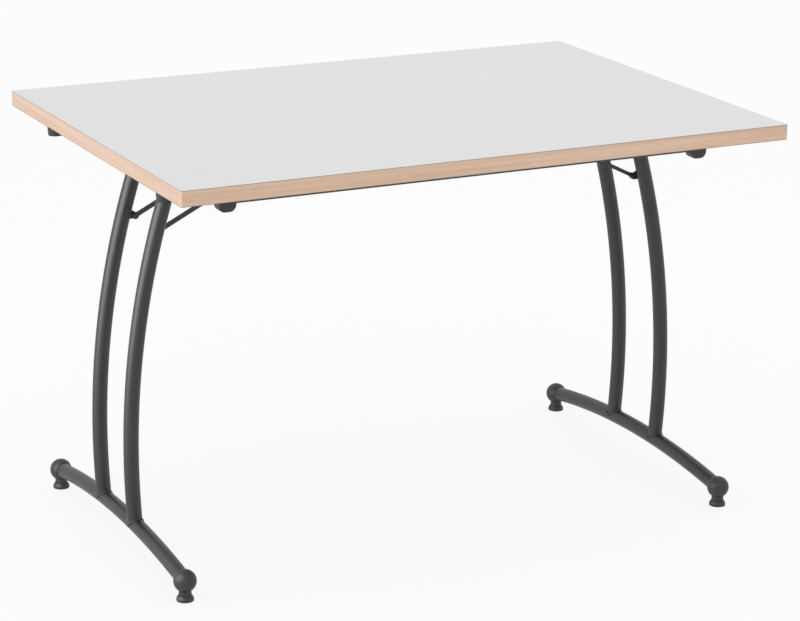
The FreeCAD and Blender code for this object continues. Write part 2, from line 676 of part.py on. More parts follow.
def hinge_block():
    """Moulded bearing: rounded under the pivot tube, an ear to screw down, a spigot into the rail."""
    half = BLOCK_WIDTH / 2
    body = box(PIVOT_X - half, PIVOT_X + half, BLOCK_INNER_Y, BLOCK_OUTER_Y, BLOCK_BOTTOM, UNDERSIDE)
    lower_corners = []
    for edge in body.Edges:
        if runs_along(edge, AXIS_Y) and edge.CenterOfMass.z < BLOCK_BOTTOM + NEAR:
            lower_corners.append(edge)
    body = body.makeFillet(BLOCK_CORNER_RADIUS, lower_corners)
    rim = []
    for edge in body.Edges:
        middle = edge.CenterOfMass
        if abs(middle.y - BLOCK_OUTER_Y) < NEAR and middle.z < UNDERSIDE - NEAR:
            rim.append(edge)
    body = body.makeFillet(BLOCK_EDGE_RADIUS, rim)
    ear_end = PIVOT_X + half + EAR_LENGTH
    ear = box(PIVOT_X, ear_end, BLOCK_INNER_Y, BLOCK_OUTER_Y, UNDERSIDE - EAR_THICKNESS, UNDERSIDE)
    ear_corners = []
    for edge in ear.Edges:
        middle = edge.CenterOfMass
        if middle.x > ear_end - NEAR and abs(middle.z - (UNDERSIDE - EAR_THICKNESS / 2)) < NEAR:
            ear_corners.append(edge)
    ear = ear.makeFillet(EAR_CORNER_RADIUS, ear_corners)
    spigot_y = RAIL_WIDTH / 2 - RAIL_WALL - CAP_FIT
    spigot = box(
        RAIL_END_X - SPIGOT_LENGTH,
        PIVOT_X - half + BLOCK_EDGE_RADIUS,
        RAIL_OFFSET - spigot_y,
        RAIL_OFFSET + spigot_y,
        UNDERSIDE - RAIL_HEIGHT + RAIL_WALL + CAP_FIT,
        UNDERSIDE - RAIL_WALL - CAP_FIT,
    )
    bore = rod(
        CROSS_TUBE_DIAMETER + 2 * RUNNING_CLEARANCE,
        V(PIVOT_X, BLOCK_INNER_Y, PIVOT_Z),
        V(PIVOT_X, BORE_FLOOR_Y, PIVOT_Z),
    )
    holes = []
    for x, hole_y in block_screw_places():
        holes.append(post(SCREW_DIAMETER + 2 * SCREW_FIT, x, hole_y, UNDERSIDE - EAR_THICKNESS, UNDERSIDE))
    return joined([body, ear, spigot]).cut([bore] + holes)


def rail_screw_places():
    """Plan positions of the screws along the rear rail."""
    first = -RAIL_END_X + RAIL_SCREW_MARGIN
    pitch = -2 * first / (RAIL_SCREW_COUNT - 1)
    return [(first + pitch * k, RAIL_OFFSET) for k in range(RAIL_SCREW_COUNT)]


def rail():
    """Rear rectangular tube between two blocks, pierced for its screws and for the driver."""
    low = UNDERSIDE - RAIL_HEIGHT
    half = RAIL_WIDTH / 2
    tube = box(-RAIL_END_X, RAIL_END_X, RAIL_OFFSET - half, RAIL_OFFSET + half, low, UNDERSIDE)
    long_edges = [edge for edge in tube.Edges if runs_along(edge, AXIS_X)]
    tube = tube.makeFillet(RAIL_CORNER_RADIUS, long_edges)
    hollow = box(
        -RAIL_END_X,
        RAIL_END_X,
        RAIL_OFFSET - half + RAIL_WALL,
        RAIL_OFFSET + half - RAIL_WALL,
        low + RAIL_WALL,
        UNDERSIDE - RAIL_WALL,
    )
    holes = []
    for x, y in rail_screw_places():
        holes.append(post(RAIL_ACCESS_DIAMETER, x, y, low, low + RAIL_WALL))
        holes.append(post(SCREW_DIAMETER + 2 * SCREW_FIT, x, y, UNDERSIDE - RAIL_WALL, UNDERSIDE))
    return tube.cut([hollow] + holes)


# Buffers and screws


def buffer_places():
    """Plan positions of the four stacking buffers."""
    x = HALF_LENGTH - BUFFER_END_INSET
    return [(sx * x, sy * BUFFER_OFFSET) for sx in (-1, 1) for sy in (-1, 1)]


def stacking_buffer(x, y):
    """Tapered rubber buffer with a deep recess for its screw."""
    shank = SCREW_DIAMETER / 2 + SCREW_FIT
    recess = SCREW_HEAD_DIAMETER / 2 + HEAD_FIT
    profile = [
        (shank, UNDERSIDE),
        (BUFFER_DIAMETER / 2, UNDERSIDE),
        (BUFFER_TIP_DIAMETER / 2, UNDERSIDE - BUFFER_HEIGHT),
        (recess, UNDERSIDE - BUFFER_HEIGHT),
        (recess, UNDERSIDE - BUFFER_SEAT_THICKNESS),
        (shank, UNDERSIDE - BUFFER_SEAT_THICKNESS),
    ]
    return turned(profile, x, y)


def wood_screw(x, y, seat):
    """Screw up into the core, with its head under a seat."""
    shank = SCREW_DIAMETER / 2
    head = SCREW_HEAD_DIAMETER / 2
    profile = [
        (0, UNDERSIDE + SCREW_BITE),
        (shank, UNDERSIDE + SCREW_BITE),
        (shank, seat),
        (head, seat),
        (head, seat - SCREW_HEAD_HEIGHT),
        (0, seat - SCREW_HEAD_HEIGHT),
    ]
    return turned(profile, x, y)


def four_ways(places):
    """Mirror plan positions to both ends and both sides."""
    return [(sx * x, sy * y) for sx in (-1, 1) for sy in (-1, 1) for x, y in places]


def front_and_rear(places):
    """Mirror plan positions to both sides."""
    return [(x, sy * y) for sy in (-1, 1) for x, y in places]


def build_top():
    """Panel, laminates, lippings and everything screwed to the underside."""
    guide_places = guide_screw_places(FOLD_ANGLE_RIGHT)
    guide_places += [(-x, y) for x, y in guide_screw_places(FOLD_ANGLE_LEFT)]
    block_places = four_ways(block_screw_places())
    rail_places = front_and_rear(rail_screw_places())
    screw_places = guide_places + block_places + rail_places + buffer_places()
    save("core_panel", core_panel(screw_places))
    save("top_laminate", top_outline(CORE_TOP, TABLE_HEIGHT))
    save("backing_laminate", backing_laminate(screw_places))
    ring = lipping_ring()
    front = ring.common(mitre_wedge(True))
    right = ring.common(mitre_wedge(False))
    save("lipping_front", front)
    save("lipping_rear", swap_side(front))
    save("lipping_right", right)
    save("lipping_left", to_left(right))
    save("rail_rear", rail())
    save("rail_front", swap_side(rail()))
    save("stacking_buffers", *[stacking_buffer(x, y) for x, y in buffer_places()])
    save("guide_screws", *[wood_screw(x, y, GUIDE_SCREW_SEAT) for x, y in guide_places])
    save("hinge_block_screws", *[wood_screw(x, y, UNDERSIDE - EAR_THICKNESS) for x, y in block_places])
    save("rail_screws", *[wood_screw(x, y, UNDERSIDE - RAIL_WALL) for x, y in rail_places])
    save("buffer_screws", *[wood_screw(x, y, UNDERSIDE - BUFFER_SEAT_THICKNESS) for x, y in buffer_places()])
    left_rivets = [to_left(rivet) for rivet in clip_rivets(FOLD_ANGLE_LEFT)]
    save("clip_rivets", *clip_rivets(FOLD_ANGLE_RIGHT), *left_rivets)


def build_end(side, place, fold_limit):
    """One leg frame with its stay, guide, blocks and levellers; place puts a right-end shape at its end."""
    save("stay_guide_" + side, place(stay_guide(fold_limit)))
    save("snap_clips_" + side, *[place(clip) for clip in snap_clips(fold_limit)])
    save("pivot_tube_" + side, place(pivot_tube()))
    save("foot_tube_" + side, place(foot_tube()))
    save("stay_crossbar_" + side, place(stay_crossbar()))
    save("slide_sleeves_" + side, place(slide_sleeve()), place(swap_side(slide_sleeve())))
    save("foot_inserts_" + side, place(foot_insert()), place(swap_side(foot_insert())))
    save("stay_lugs_" + side, place(stay_lug()), place(swap_side(stay_lug())))
    save("stay_pins_" + side, place(stay_pin()), place(swap_side(stay_pin())))
    rear_pieces = {
        "hinge_block": hinge_block(),
        "upright": upright(UPRIGHT_Y),
        "foot_cap": foot_cap(),
        "stay_arm": stay_arm(),
        "leveller_pad": leveller_pad(),
        "leveller_stem": leveller_stem(),
    }
    for name, piece in rear_pieces.items():
        save(name + "_" + side + "_rear", place(piece))
        save(name + "_" + side + "_front", place(swap_side(piece)))


def main():
    """Write every node."""
    os.makedirs("parts", exist_ok=True)
    build_top()
    build_end("right", lambda shape: shape, FOLD_ANGLE_RIGHT)
    build_end("left", to_left, FOLD_ANGLE_LEFT)


main()
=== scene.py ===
import bpy
import json
import math
from mathutils import Matrix, Vector

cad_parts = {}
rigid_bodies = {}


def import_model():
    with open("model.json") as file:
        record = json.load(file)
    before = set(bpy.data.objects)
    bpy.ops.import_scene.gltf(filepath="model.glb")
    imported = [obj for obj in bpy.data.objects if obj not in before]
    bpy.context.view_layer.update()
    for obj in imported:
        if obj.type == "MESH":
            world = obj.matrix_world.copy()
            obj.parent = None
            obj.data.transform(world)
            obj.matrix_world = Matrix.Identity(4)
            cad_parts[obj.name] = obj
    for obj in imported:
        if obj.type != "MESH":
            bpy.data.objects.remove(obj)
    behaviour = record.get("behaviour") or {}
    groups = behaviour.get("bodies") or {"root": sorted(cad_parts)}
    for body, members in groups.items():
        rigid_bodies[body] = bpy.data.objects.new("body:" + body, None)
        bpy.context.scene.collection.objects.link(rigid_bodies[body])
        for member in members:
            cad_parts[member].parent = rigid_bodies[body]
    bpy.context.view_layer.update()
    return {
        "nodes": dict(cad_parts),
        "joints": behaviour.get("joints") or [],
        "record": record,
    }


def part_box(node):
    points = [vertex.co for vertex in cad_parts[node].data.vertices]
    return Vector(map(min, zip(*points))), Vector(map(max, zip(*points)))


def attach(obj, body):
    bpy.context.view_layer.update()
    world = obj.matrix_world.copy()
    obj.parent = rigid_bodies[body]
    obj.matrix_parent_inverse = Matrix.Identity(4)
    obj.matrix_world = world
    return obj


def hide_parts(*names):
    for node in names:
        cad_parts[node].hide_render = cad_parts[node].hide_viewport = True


# Folding table: finishes, welds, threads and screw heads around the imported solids. Metres throughout.

for leftover in list(bpy.data.objects):
    bpy.data.objects.remove(leftover)
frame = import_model()

# Camera, from the photograph's perspective; its picture is 800 by 621
SENSOR_WIDTH = 36.0
FOCAL_PIXELS = 2785.0
PICTURE_WIDTH = 800.0
CAMERA_PLACE = Vector((-2.204, -4.335, 1.842))
CAMERA_AZIMUTH = math.radians(-27.16)
CAMERA_ELEVATION = math.radians(16.94)
CAMERA_ROLL = math.radians(0.79)
CAMERA_REACH = 200.0

# Stage
FLOOR_RADIUS = 40.0
FLOOR_DROP = 0.0004
FLOOR_COLOUR = (0.88, 0.88, 0.88, 1.0)
FLOOR_WHITENESS = 0.85
WHITE = (1.0, 1.0, 1.0, 1.0)
AMBIENT = 0.92

# Lamps: where each one stands, the point that it faces, its width, height and power
OVERHEAD = ((0.2, 0.2, 3.6), (0, 0, 0.7), 3.0, 3.0, 16)
LEFT_SOFTBOX = ((-1.75, 0.10, 0.24), (-0.5, 0, 0.26), 0.9, 0.44, 4.6)
LEFT_STRIP = ((-1.75, -0.20, 0.95), (-0.5, 0, 0.60), 1.5, 1.1, 30)

# Colours
LAMINATE_FACE = (0.700, 0.702, 0.705)
LAMINATE_SPECKLE = (0.660, 0.662, 0.665)
BACKING_FACE = (0.60, 0.585, 0.56)
BACKING_SPECKLE = (0.55, 0.535, 0.51)
LAMINATE_CORE = (0.26, 0.21, 0.18)
CHIP_PALE = (0.55, 0.41, 0.27)
CHIP_BROWN = (0.50, 0.36, 0.22)
BEECH_DARK = (0.64, 0.425, 0.290)
BEECH_MIDDLE = (0.715, 0.495, 0.358)
BEECH_PALE = (0.78, 0.568, 0.430)
BEECH_FIBRE = (0.58, 0.375, 0.255)
BEECH_FLECK = (0.47, 0.28, 0.18)
COAT_DARK = (0.014, 0.014, 0.015)
COAT_LIGHT = (0.021, 0.021, 0.023)

# Leg frames
BOW_HEIGHT = 0.190
LUG_DROP = 0.108
LUG_WELD_LENGTH = 0.018
LUG_WELD_OFFSET = 0.0056
SIDES = {"left": -1, "right": 1}
ENDS = {"front": -1, "rear": 1}

# Weld beads
BEAD_RADIUS = 0.0022
BEAD_RIPPLE = 0.16
BEAD_PITCH = 0.0030
BEAD_STEPS = 5
BEAD_SIDES = 8
BEAD_END_SHARE = 0.35

# Leveller stems
STEM_PITCH = 0.00125
STEM_THREAD_DEPTH = 0.0007
STEM_CHAMFER = 0.0010

# Wood screws
SCREW_GROUPS = ("guide_screws", "hinge_block_screws", "rail_screws", "buffer_screws")
SCREW_HEAD_RADIUS = 0.0040
SCREW_HEAD_HEIGHT = 0.0030
SCREW_HEAD_PROFILE = ((0.55, -1.0), (0.80, -0.93), (0.95, -0.72), (1.0, -0.42), (1.0, -0.05), (0.97, 0.0))
SCREW_CORE_RADIUS = 0.0014
SCREW_THREAD_DEPTH = 0.0006
SCREW_PITCH = 0.0018
SCREW_TIP = 0.0050
SCREW_POINT_SHARE = 0.15
RECESS_LENGTH = 0.0046
RECESS_WIDTH = 0.0010
RECESS_DEPTH = 0.0017
RECESS_MOUTH_SHARE = 1.25
RECESS_FLOOR_SHARE = 0.6
THREAD_STEPS = 6
ROUND_SEGMENTS = 24

SMOOTH_ANGLE = math.radians(38)


# Shader helpers


def node(tree, kind, **inputs):
    """Add a shader node and set its inputs by name, spaces written as underscores."""
    made = tree.nodes.new("ShaderNode" + kind)
    for name, value in inputs.items():
        made.inputs[name.replace("_", " ")].default_value = value
    return made


def maths(tree, operation, first, second):
    """A maths node; each term is a socket or a number."""
    made = tree.nodes.new("ShaderNodeMath")
    made.operation = operation
    for index, term in enumerate((first, second)):
        if isinstance(term, (int, float)):
            made.inputs[index].default_value = term
        else:
            tree.links.new(term, made.inputs[index])
    return made.outputs[0]


def ramp(tree, factor, stops):
    """A colour ramp over (position, colour) stops."""
    made = tree.nodes.new("ShaderNodeValToRGB")
    elements = made.color_ramp.elements
    while len(elements) < len(stops):
        elements.new(0.5)
    for element, (position, colour) in zip(elements, stops):
        element.position = position
        element.color = (*colour, 1.0)
    tree.links.new(factor, made.inputs["Fac"])
    return made.outputs["Color"]


def spread(tree, factor, low, high):
    """A factor of 0 to 1 stretched to a range."""
    made = tree.nodes.new("ShaderNodeMapRange")
    made.inputs["To Min"].default_value = low
    made.inputs["To Max"].default_value = high
    tree.links.new(factor, made.inputs["Value"])
    return made.outputs["Result"]


def stretched(tree, scale):
    """Object coordinates multiplied along each axis."""
    coordinates = tree.nodes.new("ShaderNodeTexCoord")
    mapping = tree.nodes.new("ShaderNodeMapping")
    mapping.inputs["Scale"].default_value = scale
    tree.links.new(coordinates.outputs["Object"], mapping.inputs["Vector"])
    return mapping.outputs["Vector"]


def noise(tree, scale, detail=3.0, roughness=0.55):
    """Noise in object space; scale is per metre along each axis."""
    made = node(tree, "TexNoise", Scale=1.0, Detail=detail, Roughness=roughness)
    tree.links.new(stretched(tree, scale), made.inputs["Vector"])
    return made.outputs["Fac"]


def mixed(tree, factor, first, second):
    """Colour mix; each colour is a socket or a triple."""
    made = tree.nodes.new("ShaderNodeMix")
    made.data_type = "RGBA"
    sockets = [s for s in made.inputs if s.type == "RGBA"]
    tree.links.new(factor, made.inputs[0])
    for socket, colour in zip(sockets, (first, second)):
        if isinstance(colour, tuple):
            socket.default_value = (*colour, 1.0)
        else:
            tree.links.new(colour, socket)
    return [s for s in made.outputs if s.type == "RGBA"][0]


def bumped(tree, shader, height, strength, distance):
    """Bump on a shader's normal."""
    made = node(tree, "Bump", Strength=strength, Distance=distance)
    tree.links.new(height, made.inputs["Height"])
    tree.links.new(made.outputs["Normal"], shader.inputs["Normal"])


def begin(name, **inputs):
    """A new material with a principled shader whose inputs are set by name."""
    material = bpy.data.materials.new(name)
    material.use_nodes = True
    tree = material.node_tree
    shader = tree.nodes["Principled BSDF"]
    for key, value in inputs.items():
        shader.inputs[key.replace("_", " ")].default_value = value
    return material, tree, shader


def finish_with(tree, shader, colour, roughness):
    """Link colour and roughness to a shader."""
    tree.links.new(colour, shader.inputs["Base Color"])
    tree.links.new(roughness, shader.inputs["Roughness"])


# Materials


def laminate(name, light, dark, edge):
    """Matt high-pressure laminate: fine speckle on its faces and a darker core showing at its edge."""
    material, tree, shader = begin(name, Specular_IOR_Level=0.35)
    speckle = noise(tree, (900, 900, 900), 2.0, 0.7)
    cloud = noise(tree, (4, 4, 4), 3.0)
    blend = maths(tree, "ADD", maths(tree, "MULTIPLY", speckle, 0.7), maths(tree, "MULTIPLY", cloud, 0.3))
    face = ramp(tree, blend, [(0.35, dark), (0.65, light)])
    geometry = tree.nodes.new("ShaderNodeNewGeometry")
    split = tree.nodes.new("ShaderNodeSeparateXYZ")
    tree.links.new(geometry.outputs["True Normal"], split.inputs["Vector"])
    upright = maths(tree, "ABSOLUTE", split.outputs["Z"], 0.0)
    flat = maths(tree, "GREATER_THAN", upright, 0.5)
    finish_with(tree, shader, mixed(tree, flat, edge, face), spread(tree, cloud, 0.42, 0.52))
    bumped(tree, shader, speckle, 0.05, 0.0004)
    return material


def particle_board(name):
    """Pressed wood chips."""
    material, tree, shader = begin(name)
    chips = node(tree, "TexVoronoi", Scale=1.0)
    tree.links.new(stretched(tree, (320, 320, 700)), chips.inputs["Vector"])
    shade = noise(tree, (500, 500, 900))
    colour = mixed(tree, shade, chips.outputs["Color"], CHIP_PALE)
    tinted = mixed(tree, spread(tree, shade, 0.7, 0.9), colour, CHIP_BROWN)
    finish_with(tree, shader, tinted, spread(tree, shade, 0.75, 0.9))
    bumped(tree, shader, chips.outputs["Distance"], 0.4, 0.0006)
    return material


def beech(name, along):
    """Varnished beech with its grain along X or Y: growth bands, fine pores and short ray flecks."""
    material, tree, shader = begin(name, Coat_Weight=0.25, Coat_Roughness=0.3)

    def lengthwise(long, short):
        return (long, short, short) if along == "X" else (short, long, short)

    bands = noise(tree, lengthwise(2.2, 120), 4.0, 0.5)
    fibres = noise(tree, lengthwise(18, 900), 3.0, 0.6)
    flecks = noise(tree, lengthwise(120, 1300), 1.0, 0.4)
    tone = ramp(tree, bands, [(0.28, BEECH_DARK), (0.5, BEECH_MIDDLE), (0.72, BEECH_PALE)])
    fibred = mixed(tree, spread(tree, fibres, 0.0, 0.30), tone, BEECH_FIBRE)
    mask = ramp(tree, flecks, [(0.60, (0, 0, 0)), (0.68, (0.45, 0.45, 0.45))])
    colour = mixed(tree, mask, fibred, BEECH_FLECK)
    finish_with(tree, shader, colour, spread(tree, fibres, 0.36, 0.5))
    bumped(tree, shader, fibres, 0.12, 0.0003)
    return material


def powder_coat(name):
    """Black powder coat on steel: fine orange peel and a soft sheen."""
    material, tree, shader = begin(name, Specular_IOR_Level=0.55)
    peel = noise(tree, (1100, 1100, 1100), 2.0, 0.5)
    cloud = noise(tree, (14, 14, 14), 3.0)
    colour = ramp(tree, cloud, [(0.3, COAT_DARK), (0.7, COAT_LIGHT)])
    finish_with(tree, shader, colour, spread(tree, cloud, 0.36, 0.48))
    bumped(tree, shader, peel, 0.18, 0.0004)
    return material


def moulded_plastic(name, light, dark, rough):
    """Moulded plastic with a fine eroded texture."""
    material, tree, shader = begin(name)
    grain = noise(tree, (1600, 1600, 1600), 2.0, 0.6)
    cloud = noise(tree, (40, 40, 40), 3.0)
    colour = ramp(tree, cloud, [(0.3, dark), (0.7, light)])
    finish_with(tree, shader, colour, spread(tree, cloud, rough - 0.06, rough + 0.06))
    bumped(tree, shader, grain, 0.22, 0.0004)
    return material


def bare_metal(name, light, dark, smooth, rough):
    """Plated or blued metal with cloudy tarnish and fine marks."""
    material, tree, shader = begin(name, Metallic=1.0)
    cloud = noise(tree, (160, 160, 160), 4.0)
    marks = noise(tree, (2500, 2500, 500), 2.0)
    colour = ramp(tree, cloud, [(0.3, dark), (0.7, light)])
    finish_with(tree, shader, colour, spread(tree, cloud, smooth, rough))
    bumped(tree, shader, marks, 0.12, 0.0002)
    return material


MATERIALS = {
    "laminate": laminate("laminate", LAMINATE_FACE, LAMINATE_SPECKLE, LAMINATE_CORE),
    "backing": laminate("backing", BACKING_FACE, BACKING_SPECKLE, LAMINATE_CORE),
    "particle_board": particle_board("particle_board"),
    "beech": beech("beech", "X"),
    "black_steel": powder_coat("black_steel"),
    "black_plastic": moulded_plastic("black_plastic", (0.030, 0.030, 0.032), (0.022, 0.022, 0.023), 0.5),
    "nylon": moulded_plastic("nylon", (0.70, 0.69, 0.64), (0.63, 0.62, 0.57), 0.42),
    "rubber": moulded_plastic("rubber", (0.032, 0.031, 0.030), (0.020, 0.020, 0.020), 0.78),
    "zinc": bare_metal("zinc", (0.66, 0.67, 0.68), (0.52, 0.53, 0.55), 0.24, 0.38),
    "spring_steel": bare_metal("spring_steel", (0.26, 0.27, 0.31), (0.17, 0.17, 0.19), 0.26, 0.4),
}
BEECH_ACROSS = beech("beech_across", "Y")


def dress_solids():
    """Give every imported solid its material; the end lippings' grain runs across the table."""
    for subpart in frame["record"]["subparts"]:
        name = subpart["node"]
        solid = frame["nodes"][name]
        material = MATERIALS[subpart["material_slot"]]
        if name in ("lipping_left", "lipping_right"):
            material = BEECH_ACROSS
        solid.data.materials.clear()
        solid.data.materials.append(material)


# Mesh helpers


class Shape:
    """Points and faces of one piece while it is being made."""

    def __init__(self):
        self.points = []
        self.faces = []

    def add_rings(self, rings, closed):
        """Skin a list of equally long rings, with flat caps unless the row closes on itself."""
        first = len(self.points)
        count = len(rings[0])
        for ring in rings:
            self.points.extend(ring)
        for row in range(len(rings) if closed else len(rings) - 1):
            low = first + row * count
            high = first + (row + 1) % len(rings) * count
            for k in range(count):
                after = (k + 1) % count
                self.faces.append((low + k, low + after, high + after, high + k))
        if not closed:
            self.faces.append(tuple(first + k for k in reversed(range(count))))
            self.faces.append(tuple(first + (len(rings) - 1) * count + k for k in range(count)))

    def add_mesh(self, mesh, place):
        """Add a copy of a mesh, moved."""
        first = len(self.points)
        self.points.extend(vertex.co + place for vertex in mesh.vertices)
        for polygon in mesh.polygons:
            self.faces.append(tuple(first + index for index in polygon.vertices))

    def mesh(self, name):
        """The finished mesh, smooth but for its sharp edges."""
        made = bpy.data.meshes.new(name)
        made.from_pydata(self.points, [], self.faces)
        made.validate()
        made.shade_smooth()
        made.set_sharp_from_angle(angle=SMOOTH_ANGLE)
        return made


def add_piece(name, shape, slot, body, *replaced):
    """Show a shape as a piece of one body."""
    piece = bpy.data.objects.new(name, shape.mesh(name))
    piece.data.materials.append(MATERIALS[slot])
    bpy.context.scene.collection.objects.link(piece)
    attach(piece, body)
    if replaced:
        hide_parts(*replaced)


def circle(radius, height):
    """Ring of points about the Z axis."""
    turns = [2 * math.pi * k / ROUND_SEGMENTS for k in range(ROUND_SEGMENTS)]
    return [Vector((radius * math.cos(a), radius * math.sin(a), height)) for a in turns]


def thread_ring(root, depth, pitch, height):
    """Ring of points on a threaded surface at a height: the ridge climbs one pitch a turn."""
    ring = []
    for k in range(ROUND_SEGMENTS):
        turn = k / ROUND_SEGMENTS
        phase = (height / pitch - turn) % 1.0
        radius = root + depth * (1 - abs(2 * phase - 1))
        angle = 2 * math.pi * turn
        ring.append(Vector((radius * math.cos(angle), radius * math.sin(angle), height)))
    return ring


# Weld beads on the leg frames


PIVOT = Vector([joint for joint in frame["joints"] if joint["name"] == "leg_fold_right"][0]["pos_m"])
UPRIGHT_LOW, UPRIGHT_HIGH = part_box("upright_right_rear")
UPRIGHT_Y = (UPRIGHT_LOW.y + UPRIGHT_HIGH.y) / 2
UPRIGHT_RADIUS = (UPRIGHT_HIGH.y - UPRIGHT_LOW.y) / 2


def upright_arc():
    """Centre and radius of an upright's centreline, right end."""
    furthest = UPRIGHT_HIGH.x - UPRIGHT_RADIUS
    across = furthest - PIVOT.x
    above = PIVOT.z - BOW_HEIGHT
    radius = (across ** 2 + above ** 2) / (2 * across)
    return Vector((furthest - radius, 0, BOW_HEIGHT)), radius


BOW_CENTRE, BOW_RADIUS = upright_arc()


def bow_point(height, y):
    """Point on an upright's centreline at a height, right end."""
    return Vector((BOW_CENTRE.x + math.sqrt(BOW_RADIUS ** 2 - (height - BOW_HEIGHT) ** 2), y, height))


def bow_direction(height):
    """Upward direction of an upright at a height, right end."""
    sine = (height - BOW_HEIGHT) / BOW_RADIUS
    return Vector((-sine, 0, math.sqrt(1 - sine ** 2)))


def foot_arc():
    """Centre and radius of the foot tube's arc and the tube's radius, right end."""
    tube_low, tube_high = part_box("foot_tube_right")
    cap_low, cap_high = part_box("foot_cap_right_rear")
    tube_radius = (tube_high.x - tube_low.x) / 2
    ball_radius = (cap_high.x - cap_low.x) / 2
    crown = tube_high.z - tube_radius
    half_span = cap_high.y - ball_radius
    sag = crown - (cap_high.z - ball_radius)
    radius = (half_span ** 2 + sag ** 2) / (2 * sag)
    centre = Vector(((tube_low.x + tube_high.x) / 2, 0, crown - radius))
    return centre, radius, tube_radius


FOOT_CENTRE, FOOT_RADIUS, CROSS_RADIUS = foot_arc()


def meeting_curve(centre, along, cross_point, cross_axis):
    """Closed curve where an upright's surface meets a cross tube, on the side that along points to."""
    across = Vector((0, 1, 0)).cross(along).normalized()
    count = round(2 * math.pi * UPRIGHT_RADIUS / BEAD_PITCH) * BEAD_STEPS
    points = []
    for k in range(count):
        turn = 2 * math.pi * k / count
        rim = centre + (across * math.cos(turn) + Vector((0, math.sin(turn), 0))) * UPRIGHT_RADIUS
        offset = rim - cross_point
        offset -= cross_axis * offset.dot(cross_axis)
        run = along - cross_axis * along.dot(cross_axis)
        a = run.length_squared
        b = 2 * offset.dot(run)
        c = offset.length_squared - CROSS_RADIUS ** 2
        step = (-b + math.sqrt(max(0.0, b * b - 4 * a * c))) / (2 * a)
        points.append((rim + along * step, (rim - centre).normalized()))
    return points


def lug_line(edge):
    """Line on an upright's inner flank where one edge of its lug is welded on, right rear."""
    count = round(LUG_WELD_LENGTH / BEAD_PITCH) * BEAD_STEPS
    flank = UPRIGHT_Y - math.sqrt(UPRIGHT_RADIUS ** 2 - LUG_WELD_OFFSET ** 2)
    points = []
    for k in range(count + 1):
        height = PIVOT.z - LUG_DROP + LUG_WELD_LENGTH * (k / count - 0.5)
        outward = Vector((0, 1, 0)).cross(bow_direction(height))
        point = bow_point(height, flank) + outward * (edge * LUG_WELD_OFFSET)
        points.append((point, Vector((0, -1, 0))))
    return points


def add_bead(shape, points, closed, mirror):
    """Rippled bead along (point, outward) pairs; its ends taper unless it closes on itself."""
    count = len(points)
    rings = []
    for k, (point, outward) in enumerate(points):
        before = points[k - 1][0] if closed or k > 0 else point
        after = points[(k + 1) % count][0] if closed or k < count - 1 else point
        along = (after - before).normalized()
        first = (outward - along * outward.dot(along)).normalized()
        second = along.cross(first)
        radius = BEAD_RADIUS * (1 + BEAD_RIPPLE * math.sin(2 * math.pi * k / BEAD_STEPS))
        if not closed:
            radius *= min(1.0, BEAD_END_SHARE + min(k, count - 1 - k) / (2 * BEAD_STEPS))
        ring = []
        for s in range(BEAD_SIDES):
            angle = 2 * math.pi * s / BEAD_SIDES
            ring.append(mirror @ (point + (first * math.cos(angle) + second * math.sin(angle)) * radius))
        rings.append(ring)
    shape.add_rings(rings, closed)


def add_welds():
    """Beads round both ends of each upright and along each lug."""
    for side, sign in SIDES.items():
        shape = Shape()
        for end in ENDS.values():
            mirror = Matrix.Diagonal((sign, end, 1))
            crown = Vector((PIVOT.x, UPRIGHT_Y, PIVOT.z))
            downward = -bow_direction(PIVOT.z)
            add_bead(shape, meeting_curve(crown, downward, PIVOT, Vector((0, 1, 0))), True, mirror)
            angle = math.asin(UPRIGHT_Y / FOOT_RADIUS)
            seat = FOOT_CENTRE + Vector((0, math.sin(angle), math.cos(angle))) * FOOT_RADIUS
            slope = Vector((0, math.cos(angle), -math.sin(angle)))
            add_bead(shape, meeting_curve(seat, bow_direction(seat.z), seat, slope), True, mirror)
            for edge in (-1, 1):
                add_bead(shape, lug_line(edge), False, mirror)
        add_piece("weld_beads_" + side, shape, "black_steel", "leg_" + side)


# Leveller stems


def add_stems():
    """Threaded stems in place of the plain ones."""
    for side in SIDES:
        for end in ENDS:
            corner = side + "_" + end
            name = "leveller_stem_" + corner
            low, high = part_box(name)
            place = Vector(((low.x + high.x) / 2, (low.y + high.y) / 2, 0))
            radius = (high.x - low.x) / 2
            root = radius - STEM_THREAD_DEPTH
            rings = [circle(root, low.z), circle(root, low.z + STEM_CHAMFER)]
            steps = round((high.z - low.z - 2 * STEM_CHAMFER) / STEM_PITCH * THREAD_STEPS)
            for k in range(1, steps):
                height = low.z + STEM_CHAMFER + k * STEM_PITCH / THREAD_STEPS
                rings.append(thread_ring(root, STEM_THREAD_DEPTH, STEM_PITCH, height))
            rings.append(circle(root, high.z - STEM_CHAMFER / 2))
            rings.append(circle(root - STEM_THREAD_DEPTH, high.z))
            shape = Shape()
            shape.add_rings([[point + place for point in ring] for ring in rings], False)
            add_piece("threaded_stem_" + corner, shape, "zinc", "leveller_" + corner, name)


# Wood screws


def recess_cutter():
    """Tapered cross that cuts the driver's recess into a screw head."""
    cutter = Shape()
    mouth = (-2 * SCREW_HEAD_HEIGHT, RECESS_MOUTH_SHARE)
    bottom = (RECESS_DEPTH - SCREW_HEAD_HEIGHT, RECESS_FLOOR_SHARE)
    for length, width in ((RECESS_LENGTH, RECESS_WIDTH), (RECESS_WIDTH, RECESS_LENGTH)):
        rings = []
        for height, share in (mouth, bottom):
            x = length / 2 * share
            y = width / 2 * share
            corners = ((-x, -y), (x, -y), (x, y), (-x, y))
            rings.append([Vector((cx, cy, height)) for cx, cy in corners])
        cutter.add_rings(rings, False)
    return cutter


